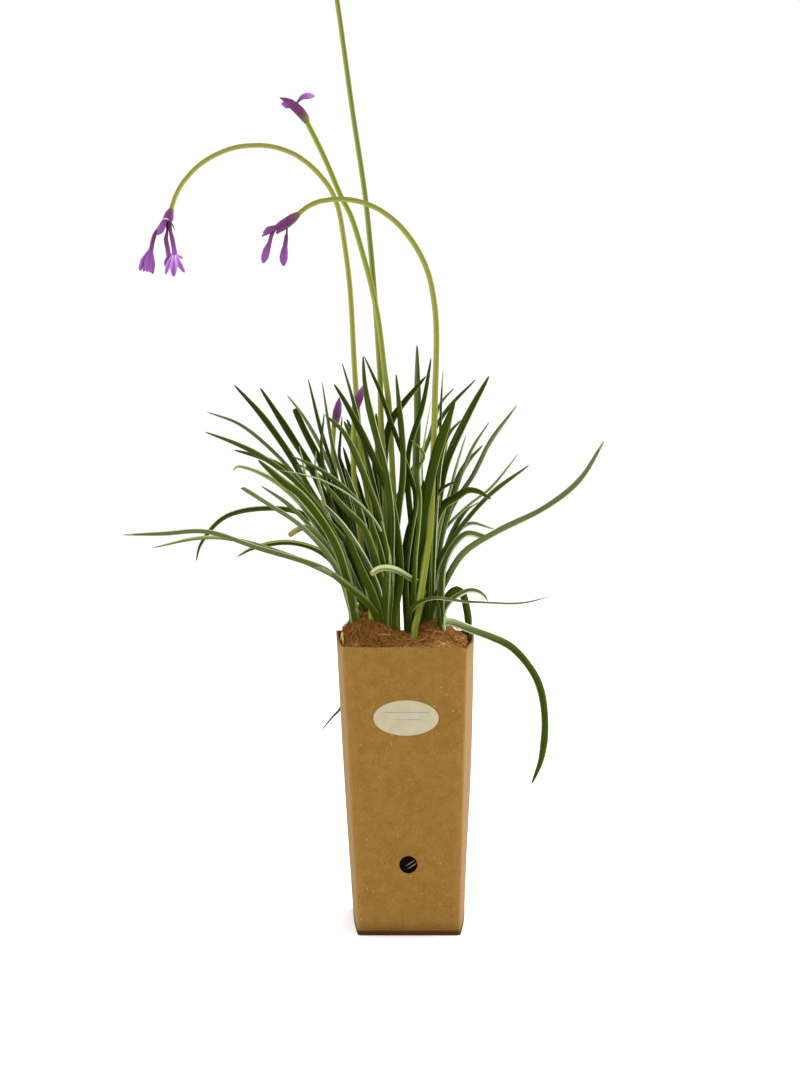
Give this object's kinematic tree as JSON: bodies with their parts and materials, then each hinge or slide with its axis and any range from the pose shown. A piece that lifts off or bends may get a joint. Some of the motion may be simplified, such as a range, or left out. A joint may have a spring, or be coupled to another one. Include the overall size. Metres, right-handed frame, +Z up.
{
  "type": "potted variegated society garlic",
  "caption": "Clump of strap-leaved society garlic with arching flower stalks and mauve heads, standing in a tall tapered kraft-board pot cover.",
  "frame": {"origin": "middle of the pot cover's base, on the surface that it stands on", "axes": "+Z up, -Y towards the front panel with the label, +X to the plant's right as seen from the front"},
  "size_m": [0.3171, 0.1972, 0.7021],
  "materials": {
    "kraft_board": "matte",
    "label_paper": "matte",
    "black_plastic": "gloss",
    "compost": "matte",
    "coir": "matte",
    "leaf": "satin",
    "stalk": "satin",
    "bloom": "satin"
  },
  "bodies": {
    "root": {"carton": "kraft_board", "label": "label_paper", "inner_pot": "black_plastic", "compost": "compost", "coir_mat": "coir", "shoot_left_front": "leaf", "shoot_left_back": "leaf", "shoot_left_middle": "leaf", "shoot_centre_front": "leaf", "shoot_left_rear": "leaf", "shoot_right_front": "leaf", "shoot_right_middle": "leaf", "shoot_right_outer": "leaf", "shoot_right_rear": "leaf", "stalk_a": "stalk", "stalk_b": "stalk", "stalk_c": "stalk", "stalk_d": "stalk", "stalk_e": "stalk", "stalk_f": "stalk", "head_a": "bloom", "head_b": "bloom", "head_c": "bloom", "head_d": "bloom", "head_e": "bloom", "head_f": "bloom"}
  },
  "joints": []
}
